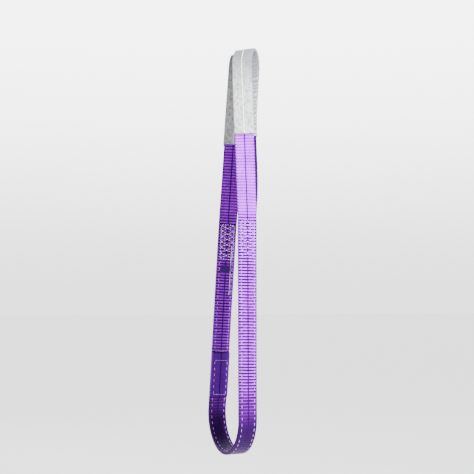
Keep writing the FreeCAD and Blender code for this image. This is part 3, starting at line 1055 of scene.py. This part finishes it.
def finish_threads(threads, name, *nodes, material=STITCH):
    """The object for some stitches, which stands for these CAD nodes."""
    piece = threads.finish(name, material)
    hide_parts(*nodes)
    return piece


upper, lower, rear_rows = Threads(), Threads(), Threads()
front_splice, rear_splice = Threads(), Threads()
for facing in (OUTER, INNER):
    sew_rows(upper, FRONT_LEG.stations(SPLIT_HEIGHT, SEWN_TOP, facing))
    sew_rows(lower, basket_stations(-SPLIT, 0.0, facing))
    sew_splice(front_splice, FRONT_LEG, facing)
    sew_splice(rear_splice, REAR_LEG, facing)
sew_rows(rear_rows, basket_stations(0.0, BIGHT_HALF + SEWN_TOP, OUTER))
sew_rows(rear_rows, basket_stations(0.0, BIGHT_HALF + LAP_LOW, INNER))
sew_rows(rear_rows, REAR_LEG.stations(LAP_HIGH + SEWN_GAP, SEWN_TOP, INNER))

piece = finish_threads(upper, "front_upper_stitches")
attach(piece, "front_leg")
piece = finish_threads(lower, "front_lower_stitches", "front_leg_edge_stitches", "bight_edge_stitches")
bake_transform(piece)
piece = finish_threads(rear_rows, "rear_stitches", "rear_leg_edge_stitches")
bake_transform(piece)
piece = finish_threads(front_splice, "front_splice_threads", "front_splice_stitches",
                       material=FRONT_SPLICE)
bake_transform(piece)
piece = finish_threads(rear_splice, "rear_splice_threads", "rear_splice_stitches", material=REAR_SPLICE)
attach(piece, "rear_leg")


# --- Pieces: the lap where the webbing's end is sewn down, and the bar tack ---

LAP_STEPS = 24
LAP_ROW_LOW = LAP_LOW + 3.0
LAP_ROW_HIGH = LAP_HIGH - LAP_END_BAND - 4.0
LAP_CROSS_LOW = LAP_LOW + 4.0
LAP_CROSS_TOP = LAP_HIGH + 2.5
CROSS_PITCH = 4.4
CROSS_STITCH = 3.4


def lap_station(height):
    """A section on top of the rear leg's inner ply."""
    station = REAR_LEG.station(height, INNER)
    station.centre = station.centre + station.outward * PLY
    return station


lap_route = [lap_station(height) for height in spread(LAP_LOW, LAP_HIGH, LAP_STEPS)]
lap = make_strap("lap_end", lap_route, 0.0, 1, SHADED_LAP_WEBBING, smooth_ribbing)[0]
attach(lap, "rear_leg")
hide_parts("webbing_lap_end")

lap_threads = Threads()
sew_rows(lap_threads, [lap_station(height) for height in spread(LAP_ROW_LOW, LAP_ROW_HIGH, LAP_STEPS)])
for station in (lap_station(LAP_CROSS_LOW), lap_station(LAP_ROW_HIGH),
                REAR_LEG.station(LAP_CROSS_TOP, INNER)):
    row = [station.point(across, 0.0) for across in ROWS]
    lap_threads.add_line(row, station.outward, CROSS_PITCH, CROSS_STITCH)
piece = finish_threads(lap_threads, "lap_threads", "lap_stitches")
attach(piece, "rear_leg")

TACK_LINES = 15
TACK_RADIUS = 0.46
TACK_RAISE = 0.35
TACK_BASE = 0.1
TACK_UNEVEN = (-1.2, 0.6)
TACK_EDGE_INSET = 1.0
TACK_EDGE_RADIUS = 0.5
TACK_EDGE_RAISE = 0.4
TACK_EDGE_BASE = 0.5


def make_tack():
    """The bar tack: close threads across the strap, of uneven length, under a thread near each end."""
    threads = Threads()
    width, height = TACK_SIZE
    middle = REAR_LEG.length - TACK_DROP
    low, high = middle - height / 2, middle + height / 2
    for level in spread(low, high, TACK_LINES):
        station = REAR_LEG.station(level, INNER)
        half = width / 2 + random.uniform(*TACK_UNEVEN)
        start, end = station.point(-half, TACK_BASE), station.point(half, TACK_BASE)
        threads.add(start, end, station.outward, TACK_RADIUS, TACK_RAISE)
    outward = REAR_LEG.station(middle, INNER).outward
    for across in (TACK_EDGE_INSET - width / 2, width / 2 - TACK_EDGE_INSET):
        start, end = [REAR_LEG.station(level, INNER).point(across, TACK_EDGE_BASE) for level in (low, high)]
        threads.add(start, end, outward, TACK_EDGE_RADIUS, TACK_EDGE_RAISE)
    return threads.finish("bar_tack_threads", TACK)


tack = make_tack()
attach(tack, "rear_leg")
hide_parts("bar_tack")


# --- Pieces: the label ---

LABEL_CORNER = 3.0
LABEL_ROUND = 0.3
LABEL_COLUMNS = 16
LABEL_ROWS = 60
LABEL_HANG = 60.0
LABEL_CURL = 0.6
LABEL_CUP = 0.4
LABEL_WAVE = 0.5
LABEL_WAVE_RATES = (0.06, 0.04)
LABEL_SEED = 5.0
LABEL_FACE = LABEL_GAP + LABEL_THICKNESS
LABEL_PITCH = 3.6
LABEL_STITCH = 3.0
LABEL_THREAD = 0.4
LABEL_SEAMS = (4.0, 13.0)
HINGE_HEIGHT = REAR_LEG.length - LABEL_DROP - LABEL_HEM


def make_label():
    """One coated cloth sheet: its top is sewn to the leg and the rest hangs from the sewn line."""
    top = HINGE_HEIGHT + LABEL_HEM
    rings = []
    for height in spread(top, top - LABEL_LENGTH, LABEL_ROWS):
        inset = min(top - height, height - top + LABEL_LENGTH)
        corner = max(0.0, LABEL_CORNER - inset)
        half = LABEL_WIDTH / 2 - LABEL_CORNER + math.sqrt(max(0.0, LABEL_CORNER ** 2 - corner ** 2))
        hang = ease((HINGE_HEIGHT - height) / LABEL_HANG)
        station = REAR_LEG.station(height, OUTER)
        ring = []
        for across, outward, _ in outline(2 * half, LABEL_THICKNESS, LABEL_COLUMNS, LABEL_ROUND):
            place = (across * LABEL_WAVE_RATES[0], height * LABEL_WAVE_RATES[1], LABEL_SEED)
            wave = LABEL_WAVE * noise.noise(Vector(place))
            curl = hang * (LABEL_CURL + LABEL_CUP * (across / half) ** 2 + wave)
            lift = LABEL_GAP + LABEL_THICKNESS / 2 + curl + outward
            ring.append((station.point(across, lift), (across, top - height)))
        rings.append(ring)
    verts, uvs = zip(*[corner for ring in rings for corner in ring])
    return make_object("label", verts, ring_faces(len(rings), len(rings[0]), False), uvs, LABEL)


label = make_label()
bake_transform(label)
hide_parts("label_header", "label_flap")

label_threads = Threads()
header = [REAR_LEG.station(HINGE_HEIGHT + rise, OUTER) for rise in LABEL_SEAMS]
for station in header:
    line = [station.point(across, LABEL_FACE) for across in ROWS]
    label_threads.add_line(line, station.outward, LABEL_PITCH, LABEL_STITCH, LABEL_THREAD)
for across in ROWS:
    line = [station.point(across, LABEL_FACE) for station in header]
    label_threads.add_line(line, header[0].outward, LABEL_PITCH, LABEL_STITCH, LABEL_THREAD)
piece = finish_threads(label_threads, "label_threads", "label_stitches")
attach(piece, "rear_leg")


# --- Pieces: the extra white row on the rear leg's inner face ---

WHITE_ROW_LOW = 196.0
WHITE_ROW_HIGH = 280.0
WHITE_ROW_ACROSS = 8.6
WHITE_PITCH = 4.2
WHITE_STITCH = 3.8
WHITE_RADIUS = 0.5

white_row = Threads()
white_row.add_along(REAR_LEG.stations(WHITE_ROW_LOW, WHITE_ROW_HIGH, INNER), WHITE_ROW_ACROSS,
                    WHITE_PITCH, WHITE_STITCH, WHITE_RADIUS)
piece = white_row.finish("white_row_stitches", SEAM)
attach(piece, "rear_leg")
